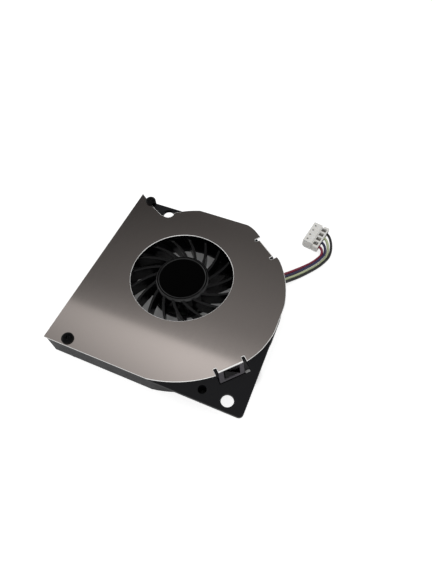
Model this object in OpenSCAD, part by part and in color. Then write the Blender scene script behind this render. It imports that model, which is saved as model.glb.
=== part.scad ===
// Slim direct-current blower fan of the 55 mm class, with a free lead and connector.
// Origin on the rotor axis at the underside of the housing, +Z towards the sheet cover,
// -X out of the air outlet. All lengths in millimetres.

/* [Overall] */
// Length of one side of the square outline
fan_side = 55.1; // [54.5:0.1:57]
// Height from the underside of the housing to the top of the cover
fan_height = 8.5; // [8.5:0.1:11]
// Distance from the rotor axis to the middle of the outline, away from the outlet
middle_shift_x = 2.25; // [2:0.05:2.5]
// Distance from the rotor axis to the middle of the outline, towards the straight front wall
middle_shift_y = 3.25; // [3:0.05:3.5]

/* [Scroll] */
// Distance from the back edge of the cover to its curved edge beside the tongue
scroll_inset = 0.2; // [0:0.1:0.4]
// Thickness of the scroll wall
wall_thick = 1.2; // [0.8:0.1:1.5]
// Thickness of the housing floor
floor_thick = 1; // [0.8:0.1:1.2]
// Overhang of the sheet cover past the scroll wall
cover_overhang = 0.3; // [0.1:0.1:0.5]
// Clearance between the impeller and the tip of the tongue
tongue_gap = 2.1; // [1.8:0.1:2.4]
// Distance from the rotor axis to the inner end of the inlet windows
window_inner = 9.2; // [8.8:0.1:9.6]
// Distance from the rotor axis to the outer end of the inlet windows
window_outer = 14.8; // [14:0.1:16]
// Width of the two plain spokes between the inlet windows
spoke_width = 2.4; // [1.6:0.1:3.6]
// Direction of the spoke that carries the leads
lead_spoke_angle = 52; // [50:1:54]

/* [Ears] */
// Thickness of the mounting ears
ear_thick = 1.2; // [1:0.1:2]
// Diameter of the mounting holes
ear_hole = 3.2; // [2.4:0.1:3.4]
// Rounding of the free corner of the front ear
ear_corner = 1.2; // [0.5:0.1:2]
// Diameter of the blind guide hole beside the front ear
guide_hole = 2.2; // [1.6:0.1:2.4]

/* [Cover] */
// Thickness of the stainless sheet
sheet_thick = 0.4; // [0.3:0.05:0.5]
// Diameter of the air intake
intake = 29; // [27:0.5:31]
// Length of each snap tab along the edge
tab_length = 6.9; // [6:0.1:7.5]
// Drop of each snap tab below the top of the cover
tab_drop = 4.6; // [4.2:0.1:5.2]
// Length of the window in each snap tab
tab_window = 4.2; // [3.6:0.1:4.8]
// Diameter of the screw heads
screw_head = 3.2; // [2.8:0.1:3.4]
// Diameter of the screw shanks
screw_shank = 1.5; // [1.2:0.1:1.7]
// Length of the screws below the head
screw_length = 5; // [4:0.1:6]

/* [Impeller] */
// Outer diameter of the impeller
impeller_diameter = 38; // [36:0.5:39]
// Number of blades
blade_count = 17; // [11:1:19]
// Thickness of a blade at its root
blade_root = 0.75; // [0.5:0.05:0.9]
// Thickness of a blade at its tip
blade_tip = 0.5; // [0.4:0.05:0.7]
// Angle between a blade and the radius through it
blade_sweep = 32; // [20:1:40]
// Outer diameter of the hub
hub_diameter = 15.6; // [15.4:0.1:16.2]
// Width of the chamfer round the top of the hub
hub_chamfer = 0.6; // [0.3:0.1:0.8]
// Depth of the hub's top below the top of the cover
hub_depth = 1.1; // [0.9:0.1:1.3]

/* [Motor] */
// Diameter of the shaft
shaft_diameter = 1.5; // [1:0.1:1.8]
// Outer diameter of the sintered bearing
bearing_diameter = 3.6; // [3.2:0.1:3.8]
// Outer diameter of the brass bearing tube
tube_diameter = 5; // [4.6:0.1:5.2]
// Outer diameter of the stator core
stator_diameter = 10.7; // [10.4:0.1:10.8]
// Thickness of the stack of laminations
stack_thick = 1.8; // [1.2:0.1:2]
// Number of poles of the stator
pole_count = 6; // [4:1:6]
// Air gap between stator and magnet
air_gap = 0.3; // [0.2:0.05:0.35]
// Radial thickness of the ring magnet
magnet_thick = 1; // [0.8:0.05:1.1]
// Thickness of the driver board
board_thick = 0.6; // [0.5:0.1:0.8]

/* [Lead] */
// Diameter of each insulated wire
wire_diameter = 0.8; // [0.6:0.05:0.8]
// Distance between neighbouring contacts of the connector
contact_pitch = 2; // [1.8:0.05:2.2]
// Height of the connector
connector_height = 3.1; // [3:0.1:3.6]
// Depth of the connector from mating face to wire side
connector_depth = 5.1; // [5:0.1:5.6]

/* [Hidden] */
$fn = 64;
eps = 0.02;
fit = 0.02;             // radial gap of pieces that are pressed or glued together
running_fit = 0.03;     // radial gap of the shaft in its bearing
over = 1;               // how far a cutter runs past the face that it opens

// Levels of the housing and the cover
cover_under = fan_height - sheet_thick;
ear_under = cover_under - ear_thick;

// Distances from the rotor axis to the four edges of the outline
outlet_distance = fan_side / 2 - middle_shift_x;
right_edge = fan_side / 2 + middle_shift_x;
front_distance = fan_side / 2 + middle_shift_y;
back_edge = fan_side / 2 - middle_shift_y;

// Scroll: the radius shrinks from scroll_far to scroll_near between these directions
scroll_bulge = 0.4;
scroll_far = front_distance + scroll_bulge;
scroll_near = back_edge - scroll_inset;
scroll_full_angle = -25;
tongue_angle = 116;
arc_start = -78;
arc_step = 3;

// Corner of the air passage: tip of the tongue, and its end at the outlet
tongue_distance = impeller_diameter / 2 + tongue_gap;
tongue_tip = tongue_distance * direction(tongue_angle + 14);
outlet_end = [-outlet_distance, back_edge - 4.3];

// Mounting holes, guide hole and screws
hole_inset = [4.7, 2.7];
guide_inset = [11.3, 2.9];
tongue_to_hole = [-0.34, 3.49];
front_hole = [right_edge - hole_inset[0], -front_distance + hole_inset[1]];
back_hole = tongue_tip + tongue_to_hole;
guide_point = [right_edge - guide_inset[0], -front_distance + guide_inset[1]];
guide_boss = guide_hole / 2 + 0.9;
guide_depth = 4;
guide_floor = 0.8;

// Outlines of the ears: where the front one starts and ends, and the back one's reach
// to the right, to the left and past its hole
ear_start = 4;
ear_end = 6;
ear_reach = [4.3, 6.7, 2.55];
ear_slant = 1.5;
ear_split = (front_hole[0] + guide_point[0] + guide_boss - ear_hole / 2) / 2;
front_screw = [-outlet_distance + 6.3, -front_distance + cover_overhang + 1.6];
back_screw = [-outlet_distance + 4, back_edge - 2.3];
boss_radius = 1.65;
head_height = 0.9;
recess_depth = 0.45;

// Snap tabs: direction of the face, shift along it, and the face's distance from the axis
front_tab_angle = -42.85;
front_tab_inset = 0.6;
side_tab_angle = 52.6;
side_tab_inset = 1.4;
tab_clearance = 0.1;
front_tab = [front_tab_angle, 0.76, scroll_radius(front_tab_angle) - front_tab_inset];
side_tab = [side_tab_angle, -4, scroll_radius(side_tab_angle) - side_tab_inset];
cover_flat = 0.7;
wall_flat = -sheet_thick - tab_clearance;
tab_splay = 1.1;        // how far the lower edge of a tab stands out from its bend
tab_bend = 0.5;
tab_band = 0.8;
relief = 0.8;
relief_depth = 1.4;
tab_slot = 2.7;
ledge_reach = 1.5;      // how far the floor reaches out under the front tab

// Motor levels, from the floor up
tube_low = floor_thick - 0.4;
board_low = floor_thick;
board_top = board_low + board_thick;
blade_low = board_top + 1;
hub_top = fan_height - hub_depth;
hub_wall = 0.6;
hub_roof = 0.5;
yoke_top = hub_top - hub_roof - fit;
yoke_thick = 0.4;
yoke_low = blade_low;
insulator_thick = 0.3;
winding_build = 0.45;
collar_rise = 0.35;
winding_gap = 0.28;     // between the windings and the roof of the yoke
core_top = yoke_top - yoke_thick - winding_gap - winding_build - insulator_thick;
core_low = core_top - stack_thick;
boss_gap = 0.8;         // between the housing's boss and the collar of the lower insulator
boss_top = core_low - insulator_thick - collar_rise - boss_gap;
magnet_low = yoke_low + 0.2;
magnet_top = yoke_top - yoke_thick - 0.25;
blade_top = hub_top - 0.2;

// Motor radii, from the shaft out
shaft_r = shaft_diameter / 2;
bearing_r = bearing_diameter / 2;
tube_r = tube_diameter / 2;
stator_r = stator_diameter / 2;
magnet_in = stator_r + air_gap;
magnet_out = magnet_in + magnet_thick;
hub_r = hub_diameter / 2;
yoke_out = hub_r - hub_wall - fit;
yoke_in = magnet_out + fit;
impeller_r = impeller_diameter / 2;
seat_r = window_inner - 0.2;
boss_tube_r = tube_r + 0.8;
board_hole_r = boss_tube_r + 0.1;
collar_in = tube_r + fit;
collar_out = tube_r + 0.65;
arm_width = 1.1;
pin_distance = collar_out + 0.65;
shoe_thick = 0.6;
pin_thick = 0.4;
edge_break = 0.15;      // chamfer of the turned pieces
bearing_low = tube_low + 1.1;
bearing_top = core_top + insulator_thick + 0.1;
tube_top = bearing_top + 0.15;
tube_floor = 0.15;
thrust_thick = 0.2;
shaft_low = tube_low + tube_floor + thrust_thick + eps;
ring_groove = bearing_low - 0.42;
groove_depth = 0.15;
shaft_top = hub_top - 0.3;
slinger_thick = 0.16;
boss_low = tube_top + 0.25;

// Parts on the driver board: distance from the axis, and length, width and height
chip_distance = 6;
chip_size = [1.4, 2, 0.6];
chip_lead = [0.5, 0.24, 0.2];
chip_pitch = 0.6;
sensor_distance = 5.9;
sensor_size = [1, 1.4, 0.65];
sensor_pitch = 0.45;
part_distance = 6.3;
part_size = [0.5, 1, 0.3];
standoff = 0.05;

// Leads: the ribbon leaves the board along the lead spoke and the housing at lead_exit
wire_r = wire_diameter / 2;
ribbon_pitch = 0.9;
bundle_pitch = 0.78;
lead_exit = [right_edge - 5, 13];
lead_heading = 50;
lead_slot = [4.4, 1.15];
board_edge = seat_r - 0.1;
pad_distance = board_edge - 0.6;
wire_start = board_edge + 0.1;

// Connector: middle, direction of its row of contacts, and size
connector_middle = [30.65, 33.25];
connector_angle = 80.2;
connector_length = 4 * contact_pitch + 0.4;
connector_wall = 0.6;
wing_length = 0.55;
wing_depth = 1.7;
wire_end = connector_depth / 2 - 1.5;
wire_mouth = connector_depth / 2 - 0.25;
lead_turn = 1.8;        // how far each lead runs on straight out of the connector
lead_start = 0.4;       // and out of the bundle, as a share of the way between them
front_part = connector_depth * 0.55;
window_distance = 0.95; // from the mating face to the middle of the contact windows
rear_height = connector_height - 0.5;
face_wall = 0.5;        // thickness of the wall that the pins come through
port_size = 0.7;
window_size = 0.6;

function clamp01(x) = max(0, min(1, x));
function blend(a, b, t) = a + (b - a) * t;
function direction(a) = [cos(a), sin(a)];

// Distance from the axis to the cover's edge in direction a
function scroll_radius(a) =
    scroll_far - (scroll_far - scroll_near)
    * clamp01((a - scroll_full_angle) / (tongue_angle - scroll_full_angle));

// Distance in direction a to the straight stretch that lies shift outside a snap tab
function tab_flat(a, shift) =
    min([for (tab = [front_tab, side_tab]) (tab[2] + shift) / max(0.1, cos(a - tab[0]))]);

// Curved part of an outline that lies inset inside the cover's edge, straight at the
// snap tabs, from the end of the front wall on
function scroll_arc(inset, shift) =
    let (front = front_distance - inset)
        concat(
            [[sqrt(pow(scroll_far - inset, 2) - pow(front, 2)), -front]],
            [for (a = [arc_start : arc_step : tongue_angle])
                let (r = min(scroll_radius(a) - inset, tab_flat(a, shift)))
                    [min(r * cos(a), right_edge - inset), min(r * sin(a), back_edge - inset)]]
        );

// Edge of the cover from the scallop at the back hole to the outlet's corner
cover_back = [back_hole + [-1.5, -1.65], back_hole + [-5.8, 0.75],
              [-outlet_distance, back_edge - 0.1]];

module cover_outline() {
    polygon(concat(
        [[-outlet_distance, -front_distance]],
        scroll_arc(0, cover_flat),
        cover_back
    ));
}

module wall_outline() {
    i = cover_overhang;
    polygon(concat(
        [[-outlet_distance + i, -front_distance + i]],
        scroll_arc(i, wall_flat),
        [tongue_tip + [0.2, 1.3], cover_back[0] + [-0.2, -i], cover_back[1] + [-0.2, -i],
         cover_back[2] + [i, -i - 0.2]]
    ));
}

module air_passage() {
    i = cover_overhang + wall_thick;
    polygon(concat(
        [[-outlet_distance - over, -front_distance + i]],
        scroll_arc(i, wall_flat - wall_thick),
        [tongue_tip + [1.0, 0.7], tongue_tip, [-outlet_distance - over, outlet_end[1] + 0.35]]
    ));
}

// Plan of the ear plate at the front right, before the scroll wall is taken from it
module front_plate() {
    c = ear_corner;
    corner = [right_edge - c, -front_distance + c];
    polygon(concat(
        [[0, -front_distance + cover_overhang], [ear_start, -front_distance]],
        [for (a = [-90 : 15 : 0]) corner + c * direction(a)],
        [[right_edge, -ear_end], [0, -ear_end]]
    ));
}

// Plan of the ear at the back left, which reaches from the scroll's end to the outlet
module back_plate() {
    right = back_hole[0] + ear_reach[0];
    left = back_hole[0] - ear_reach[1];
    top = back_hole[1] + ear_reach[2];
    polygon([[right, top - ear_slant], [right, top], [left, top],
             [left - ear_slant, top - ear_slant], tongue_tip]);
}

// Ear plate outside the scroll wall, from the plan that is given
module ear_plate() {
    translate([0, 0, ear_under]) linear_extrude(ear_thick)
        difference() {
            children();
            wall_outline();
            translate(back_screw) circle(r = boss_radius);
        }
}

// Half plane on one side of the line between the front ear and the guide lug
module beside_split(side) {
    translate([side > 0 ? ear_split : ear_split - 2 * fan_side, -fan_side])
        square(2 * fan_side);
}

module ear_bore(p) {
    translate([p[0], p[1], ear_under - over]) cylinder(d = ear_hole, h = ear_thick + 2 * over);
}

// Slot in the ear plate that the front snap tab drops through
module tab_slot_cut() {
    inner = wall_flat - wall_thick / 2;
    tab_frame(front_tab)
        translate([inner, -tab_length / 2 - relief, ear_under - over])
            cube([tab_slot - inner, tab_length + 2 * relief, ear_thick + 2 * over]);
}

module front_ear() {
    color([0.13, 0.13, 0.14])
    difference() {
        ear_plate() intersection() {
            front_plate();
            beside_split(1);
        }
        ear_bore(front_hole);
        tab_slot_cut();
    }
}

// Rest of the ear plate, with the blind hole for the guide pin in its boss
module guide_lug() {
    color([0.13, 0.13, 0.14])
    difference() {
        union() {
            ear_plate() intersection() {
                front_plate();
                beside_split(-1);
            }
            translate([guide_point[0], guide_point[1], cover_under - guide_depth - guide_floor])
                cylinder(r = guide_boss, h = guide_depth + guide_floor);
        }
        translate([guide_point[0], guide_point[1], cover_under - guide_depth])
            cylinder(d = guide_hole, h = guide_depth + over);
        tab_slot_cut();
    }
}

module back_ear() {
    color([0.13, 0.13, 0.14])
    difference() {
        ear_plate() back_plate();
        ear_bore(back_hole);
    }
}

module tab_frame(tab) {
    rotate(tab[0]) translate([tab[2], tab[1], 0]) children();
}

// Sectors between the spokes of the floor, cut through it
module inlet_windows() {
    difference() {
        translate([0, 0, -over]) cylinder(r = window_outer, h = floor_thick + 2 * over);
        translate([0, 0, -2 * over]) cylinder(r = window_inner, h = floor_thick + 4 * over);
        for (k = [0 : 2])
            rotate(lead_spoke_angle + 120 * k) {
                w = k == 0 ? lead_slot[0] + 1.2 : spoke_width;
                translate([0, -w / 2, -2 * over])
                    cube([window_outer + over, w, floor_thick + 4 * over]);
            }
    }
}

// Wedge on the wall that a snap tab's window drops over
module tab_hook(tab) {
    root = wall_flat - 0.3;
    low = fan_height - tab_drop + tab_band + 0.3;
    tab_frame(tab)
        translate([0, tab_window / 2 - 0.3, 0]) rotate([90, 0, 0])
            linear_extrude(tab_window - 0.6)
                polygon([[root, cover_under - 0.6], [-0.3, cover_under - 0.6],
                         [0.7 * tab_splay, low], [root, low]]);
}

// Lip of the floor under the slot of the front tab
module tab_ledge() {
    tab_frame(front_tab)
        translate([wall_flat - wall_thick / 2, -tab_length / 2 - relief, 0])
            cube([wall_thick / 2 - wall_flat + ledge_reach, tab_length + 2 * relief, floor_thick]);
}

// Low ribs that keep the ribbon of leads on its spoke
module lead_ribs() {
    w = lead_slot[0];
    for (side = [-1, 1])
        rotate(lead_spoke_angle)
            translate([seat_r + 0.4, side * (w / 2 + 0.3) - 0.25, floor_thick - eps])
                cube([window_outer - seat_r - 0.8, 0.5, 0.8 + eps]);
}

module base_housing() {
    color([0.13, 0.13, 0.14])
    difference() {
        union() {
            linear_extrude(floor_thick) wall_outline();
            difference() {
                linear_extrude(cover_under) wall_outline();
                translate([0, 0, floor_thick]) linear_extrude(cover_under) air_passage();
            }
            for (p = [front_screw, back_screw])
                translate([p[0], p[1], 0]) cylinder(r = boss_radius, h = cover_under);
            tab_hook(front_tab);
            tab_hook(side_tab);
            tab_ledge();
            lead_ribs();
            cylinder(r = boss_tube_r, h = boss_top);
        }
        inlet_windows();
        for (p = [front_screw, back_screw])
            translate([p[0], p[1], cover_under - screw_length])
                cylinder(r = screw_shank / 2 + fit, h = screw_length + over);
        translate([lead_exit[0], lead_exit[1], floor_thick]) rotate(lead_heading)
            translate([-4, -lead_slot[0] / 2, 0]) cube([6, lead_slot[0], lead_slot[1]]);
        translate([0, 0, tube_low]) cylinder(r = tube_r + fit, h = fan_height);
    }
}

// Snap tab: bent profile of the sheet with a window through its hanging part
module snap_tab(tab) {
    b = tab_bend;
    t = sheet_thick;
    lean = atan(tab_splay / (tab_drop - b));
    outer = [for (k = [0 : 5])
        let (a = blend(lean, 90, k / 5)) [-b + b * cos(a), fan_height - b + b * sin(a)]];
    inner = [for (k = [3 : -1 : 0])
        let (a = blend(lean, 90, k / 3))
            [-b + (b - t) * cos(a), fan_height - b + (b - t) * sin(a)]];
    tab_frame(tab)
        difference() {
            translate([0, tab_length / 2, 0]) rotate([90, 0, 0]) linear_extrude(tab_length)
                polygon(concat(
                    [[tab_splay, fan_height - tab_drop]], outer,
                    [[-3, fan_height], [-3, cover_under]], inner,
                    [[tab_splay - t, fan_height - tab_drop]]
                ));
            translate([-t - over, -tab_window / 2, fan_height - tab_drop + tab_band])
                cube([t + tab_splay + 2 * over, tab_window, tab_drop - tab_band - b]);
        }
}

module top_cover() {
    color([0.62, 0.61, 0.59])
    difference() {
        union() {
            translate([0, 0, cover_under]) linear_extrude(sheet_thick)
                difference() {
                    cover_outline();
                    for (tab = [front_tab, side_tab]) {
                        tab_frame(tab)
                            translate([-tab_bend - 0.1, -tab_length / 2 - relief])
                                square([10, tab_length + 2 * relief]);
                        for (side = [-1, 1])
                            tab_frame(tab)
                                translate([-relief_depth,
                                           side * (tab_length + relief) / 2 - relief / 2])
                                    square([2 * relief_depth, relief]);
                    }
                }
            snap_tab(front_tab);
            snap_tab(side_tab);
        }
        translate([0, 0, cover_under - over]) {
            cylinder(d = intake, h = sheet_thick + 2 * over, $fn = 96);
            translate([back_hole[0], back_hole[1], 0])
                cylinder(r = ear_hole / 2 + 0.15, h = sheet_thick + 2 * over);
            for (p = [front_screw, back_screw])
                translate([p[0], p[1], 0])
                    cylinder(r = screw_shank / 2 + 0.15, h = sheet_thick + 2 * over);
        }
    }
}

module cover_screw() {
    r = screw_head / 2;
    difference() {
        union() {
            rotate_extrude()
                polygon(concat(
                    [[0, 0], [r, 0], [r, head_height * 0.45]],
                    [for (a = [20 : 14 : 90])
                        [r * cos(a), head_height * (0.45 + 0.55 * sin(a))]]
                ));
            translate([0, 0, -screw_length + 0.4])
                cylinder(d = screw_shank, h = screw_length - 0.4 + eps);
        }
        for (a = [0, 90])
            rotate(a) translate([-r * 0.55, -0.2, head_height - recess_depth])
                cube([r * 1.1, 0.4, head_height]);
    }
}

module cover_screws() {
    color([0.08, 0.08, 0.08])
    for (p = [front_screw, back_screw])
        translate([p[0], p[1], fan_height]) cover_screw();
}

// One backward-swept blade: constant angle between blade and radius
module blade() {
    root = hub_r - 0.15;
    steps = 6;
    radii = [for (k = [0 : steps]) blend(root, impeller_r, k / steps)];
    function turn(r) = tan(blade_sweep) * ln(r / root) * 180 / PI;
    function half(r) =
        blend(blade_root, blade_tip, (r - root) / (impeller_r - root)) / 2 / cos(blade_sweep);
    side_a = [for (r = radii) r * direction(turn(r) + half(r) / r * 180 / PI)];
    side_b = [for (k = [steps : -1 : 0])
        radii[k] * direction(turn(radii[k]) - half(radii[k]) / radii[k] * 180 / PI)];
    linear_extrude(blade_top - blade_low) polygon(concat(side_a, side_b));
}

module impeller() {
    ring_width = 1.1;
    ring_height = 0.7;
    color([0.09, 0.09, 0.10])
    union() {
        rotate_extrude()
            polygon([
                [yoke_out + fit, blade_low - 0.2], [hub_r, blade_low - 0.2],
                [hub_r, hub_top - hub_chamfer], [hub_r - hub_chamfer, hub_top],
                [hub_r - hub_chamfer - 0.4, hub_top], [hub_r - hub_chamfer - 0.6, hub_top - 0.15],
                [0, hub_top - 0.15], [0, shaft_top + fit], [shaft_r + fit / 2, shaft_top + fit],
                [shaft_r + fit / 2, boss_low], [shaft_r + 1, boss_low],
                [shaft_r + 1, yoke_top + fit], [yoke_out + fit, yoke_top + fit]
            ]);
        for (k = [0 : blade_count - 1])
            rotate(360 / blade_count * k) translate([0, 0, blade_low]) blade();
        translate([0, 0, blade_low])
            difference() {
                cylinder(r = impeller_r - 0.1, h = ring_height);
                translate([0, 0, -over])
                    cylinder(r = impeller_r - 0.1 - ring_width, h = ring_height + 2 * over);
            }
    }
}

module rotor_yoke() {
    color([0.55, 0.56, 0.58])
    rotate_extrude()
        polygon([
            [yoke_in, yoke_low], [yoke_out, yoke_low], [yoke_out, yoke_top - 0.3],
            [yoke_out - 0.3, yoke_top], [shaft_r + 1 + fit, yoke_top],
            [shaft_r + 1 + fit, yoke_top - yoke_thick], [yoke_in, yoke_top - yoke_thick]
        ]);
}

module ring_magnet() {
    color([0.22, 0.20, 0.19])
    translate([0, 0, magnet_low])
        difference() {
            cylinder(r = magnet_out, h = magnet_top - magnet_low);
            translate([0, 0, -over]) cylinder(r = magnet_in, h = magnet_top - magnet_low + 2 * over);
        }
}

module shaft() {
    color([0.80, 0.81, 0.83])
    rotate_extrude()
        polygon([
            [0, shaft_low], [shaft_r - 0.15, shaft_low], [shaft_r, shaft_low + 0.12],
            [shaft_r, ring_groove], [shaft_r - groove_depth, ring_groove],
            [shaft_r - groove_depth, ring_groove + 0.25], [shaft_r, ring_groove + 0.25],
            [shaft_r, shaft_top - 0.1], [shaft_r - 0.1, shaft_top], [0, shaft_top]
        ]);
}

// Washer on the shaft that throws creeping oil back
module oil_slinger() {
    color([0.85, 0.83, 0.74])
    translate([0, 0, boss_low - slinger_thick])
        difference() {
            cylinder(r = shaft_r + 0.6, h = slinger_thick);
            translate([0, 0, -over]) cylinder(r = shaft_r + fit / 2, h = slinger_thick + 2 * over);
        }
}

module bearing_tube() {
    color([0.78, 0.66, 0.36])
    rotate_extrude()
        polygon([
            [0, tube_low], [tube_r, tube_low], [tube_r, tube_top],
            [bearing_r + fit + edge_break, tube_top], [bearing_r + fit, tube_top - edge_break],
            [bearing_r + fit, tube_low + tube_floor],
            [0, tube_low + tube_floor]
        ]);
}

module bearing_sleeve() {
    bore = shaft_r + running_fit;
    color([0.66, 0.52, 0.34])
    rotate_extrude()
        polygon([
            [bore, bearing_low + 0.1], [bore + 0.1, bearing_low], [bearing_r, bearing_low],
            [bearing_r, bearing_top - 0.2], [bearing_r - 0.2, bearing_top],
            [bore + 0.1, bearing_top], [bore, bearing_top - 0.1]
        ]);
}

module thrust_plate() {
    color([0.92, 0.90, 0.84])
    translate([0, 0, tube_low + tube_floor])
        cylinder(r = bearing_r - 0.05, h = thrust_thick);
}

// Split washer in the groove of the shaft, below the bearing
module retaining_ring() {
    color([0.70, 0.71, 0.72])
    translate([0, 0, ring_groove + 0.04])
        difference() {
            cylinder(r = bearing_r - 0.25, h = slinger_thick);
            translate([0, 0, -over])
                cylinder(r = shaft_r - groove_depth + fit, h = slinger_thick + 2 * over);
            translate([0, -0.15, -over]) cube([bearing_r, 0.3, slinger_thick + 2 * over]);
        }
}

// Plan of the laminations: hub ring, arms and curved shoes
module pole_plan(trim) {
    difference() {
        union() {
            circle(r = collar_out);
            intersection() {
                union() {
                    for (k = [0 : pole_count - 1])
                        rotate(360 / pole_count * k)
                            translate([0, -arm_width / 2]) square([stator_r - 0.1, arm_width]);
                    difference() {
                        circle(r = stator_r);
                        circle(r = stator_r - shoe_thick);
                        for (k = [0 : pole_count - 1])
                            rotate(360 / pole_count * (k + 0.5))
                                translate([0, -0.6]) square([stator_r + 1, 1.2]);
                    }
                }
                circle(r = stator_r - trim);
            }
        }
        circle(r = collar_in);
    }
}

module stator_core() {
    color([0.50, 0.50, 0.50])
    translate([0, 0, core_low]) linear_extrude(stack_thick) pole_plan(0);
}

module insulator() {
    linear_extrude(insulator_thick) pole_plan(0.15);
    linear_extrude(insulator_thick + collar_rise)
        difference() {
            circle(r = collar_out);
            circle(r = collar_in);
        }
}

module upper_insulator() {
    color([0.90, 0.88, 0.80]) translate([0, 0, core_top]) insulator();
}

// The lower insulator also has three lugs between the arms that hold the winding pins
module lower_insulator() {
    color([0.90, 0.88, 0.80])
    translate([0, 0, core_low]) mirror([0, 0, 1])
        union() {
            insulator();
            for (k = [0 : 2])
                rotate(120 * k + 180 / pole_count)
                    translate([collar_out - 0.1, -0.4, 0])
                        cube([pin_distance + 0.3 - collar_out, 0.8, insulator_thick]);
        }
}

module coil_windings() {
    inner_h = stack_thick + 2 * insulator_thick;
    start = collar_out + 0.05;
    half_width = arm_width / 2 + winding_build;
    length = sqrt(pow(stator_r - shoe_thick, 2) - pow(half_width, 2)) - 0.05 - start;
    color([0.72, 0.40, 0.20])
    for (k = [0 : pole_count - 1])
        rotate(360 / pole_count * k)
            translate([start, 0, core_low + stack_thick / 2]) rotate([90, 0, 90])
                linear_extrude(length)
                    difference() {
                        square([2 * half_width, inner_h + 2 * winding_build],
                               center = true);
                        square([arm_width + fit, inner_h + fit], center = true);
                    }
}

// Pins in the lower insulator that carry the winding ends to the board
module winding_pins() {
    color([0.78, 0.78, 0.74])
    for (k = [0 : 2])
        rotate(120 * k + 180 / pole_count)
            translate([pin_distance, 0, board_top])
                cylinder(d = pin_thick, h = core_low - insulator_thick - board_top, $fn = 16);
}

module driver_board() {
    color([0.10, 0.28, 0.18])
    translate([0, 0, board_low])
        difference() {
            cylinder(r = board_edge, h = board_thick);
            translate([0, 0, -over]) cylinder(r = board_hole_r, h = board_thick + 2 * over);
            rotate(lead_spoke_angle) translate([board_edge - 0.12, -4, -over])
                cube([2, 8, board_thick + 2 * over]);
            rotate(lead_spoke_angle + 180) translate([board_edge, 0, -over])
                cylinder(r = 0.8, h = board_thick + 2 * over);
        }
}

// Small-outline driver chip with three leads on each side
module driver_chip() {
    color([0.12, 0.12, 0.12])
    rotate(170) translate([chip_distance, 0, board_top])
        union() {
            translate([-chip_size[0] / 2, -chip_size[1] / 2, standoff]) cube(chip_size);
            for (side = [-1, 1], k = [-1 : 1])
                translate([(side - 1) * chip_lead[0] / 2 + side * (chip_size[0] / 2 - standoff),
                           k * chip_pitch - chip_lead[1] / 2, 0])
                    cube(chip_lead);
        }
}

module hall_sensor() {
    lead = [0.3, 0.24, 0.2];
    color([0.16, 0.16, 0.16])
    rotate(285) translate([sensor_distance, 0, board_top])
        union() {
            translate([-sensor_size[0] / 2, -sensor_size[1] / 2, standoff]) cube(sensor_size);
            for (k = [-1 : 1])
                translate([k == 0 ? sensor_size[0] / 2 - standoff
                                  : standoff - sensor_size[0] / 2 - lead[0],
                           k * sensor_pitch - lead[1] / 2, 0])
                    cube(lead);
        }
}

// Chip resistors and capacitors on the board
module chip_components() {
    color([0.70, 0.66, 0.58])
    for (a = [95, 112, 129, 212, 232, 252, 318])
        rotate(a) translate([part_distance - part_size[0] / 2, -part_size[1] / 2, board_top])
            cube(part_size);
}

function lane(k) = (k - 1.5) * ribbon_pitch;

// Stripped wire end and a rounded drop of solder on its pad
module solder_joints() {
    drop = [for (a = [0 : 15 : 90]) [0.42 * cos(a), 0.45 * sin(a)]];
    color([0.80, 0.80, 0.78])
    for (k = [0 : 3])
        rotate(lead_spoke_angle) translate([pad_distance, -lane(k), board_top])
            union() {
                rotate_extrude($fn = 24) polygon(concat([[0, 0]], drop));
                translate([0, 0, 0.2]) rotate([0, 90, 0])
                    cylinder(d = 0.36, h = wire_start - pad_distance, $fn = 16);
            }
}

// Middle line of the ribbon in plan with its height, chosen along the photographed lead
lead_route = [
    [5.6, 7.17, 1.8], [7.2, 9.2, 1.6], [9.0, 11.6, 1.46], [11.6, 13.9, 1.46],
    [15.0, 14.3, 1.46], [18.2, 12.4, 1.46], [21.2, 11.4, 1.46], [23.4, 12.0, 1.46],
    [25.4, 13.8, 1.4], [27.2, 15.9, 0.9], [29.4, 18.5, 0.52], [31.7, 21.2, 0.45],
    [33.6, 23.8, 0.45], [34.9, 26.4, 0.45]
];

// Spacing of the lanes at each point of the route: flat ribbon first, then a round bundle
lane_spacing = concat([for (i = [0 : 9]) ribbon_pitch], [0.88, 0.84, 0.8, bundle_pitch]);

// Unit vector to the left of the route at point i, in plan
function route_left(i) =
    let (p = lead_route, n = len(p) - 1, d = p[min(i + 1, n)] - p[max(i - 1, 0)])
        [-d[1], d[0], 0] / norm([d[0], d[1]]);

// A place in the connector's own frame: u along the row, v towards the wires
function in_connector(u, v, z) =
    let (c = connector_middle, a = connector_angle)
        [c[0] + u * cos(a) + v * sin(a), c[1] + u * sin(a) - v * cos(a), z];

// Height of every second wire above its neighbours when the lanes are closer than a wire
function lift(k, spacing) =
    (k % 2) * sqrt(max(0, pow(ribbon_pitch - 0.02, 2) - spacing * spacing));

// Place of wire k at point i of the route
function lane_point(k, i) =
    lead_route[i] + (1.5 - k) * lane_spacing[i] * route_left(i)
    + [0, 0, lift(k, lane_spacing[i])];

// Point t, from 0 to 1, of the curve from p to s that q and r draw out
function curve_point(p, q, r, s, t) =
    pow(1 - t, 3) * p + 3 * pow(1 - t, 2) * t * q + 3 * (1 - t) * t * t * r + pow(t, 3) * s;

// Points of wire k: its lane of the ribbon, then its own curve into the connector
function wire_points(k) =
    let (n = len(lead_route) - 1,
         u = (k - 1.5) * contact_pitch,
         high = connector_height / 2,
         start = lane_point(k, n),
         heading = (start - lane_point(k, n - 1)) / norm(start - lane_point(k, n - 1)),
         end = in_connector(u, wire_mouth, high),
         p = start + lead_start * norm(end - start) * heading,
         q = in_connector(u, wire_mouth + lead_turn, high))
        concat(
            [for (i = [0 : n]) lane_point(k, i)],
            [for (j = [1 : 8]) curve_point(start, p, q, end, j / 8)],
            [in_connector(u, wire_end, high)]
        );

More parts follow.
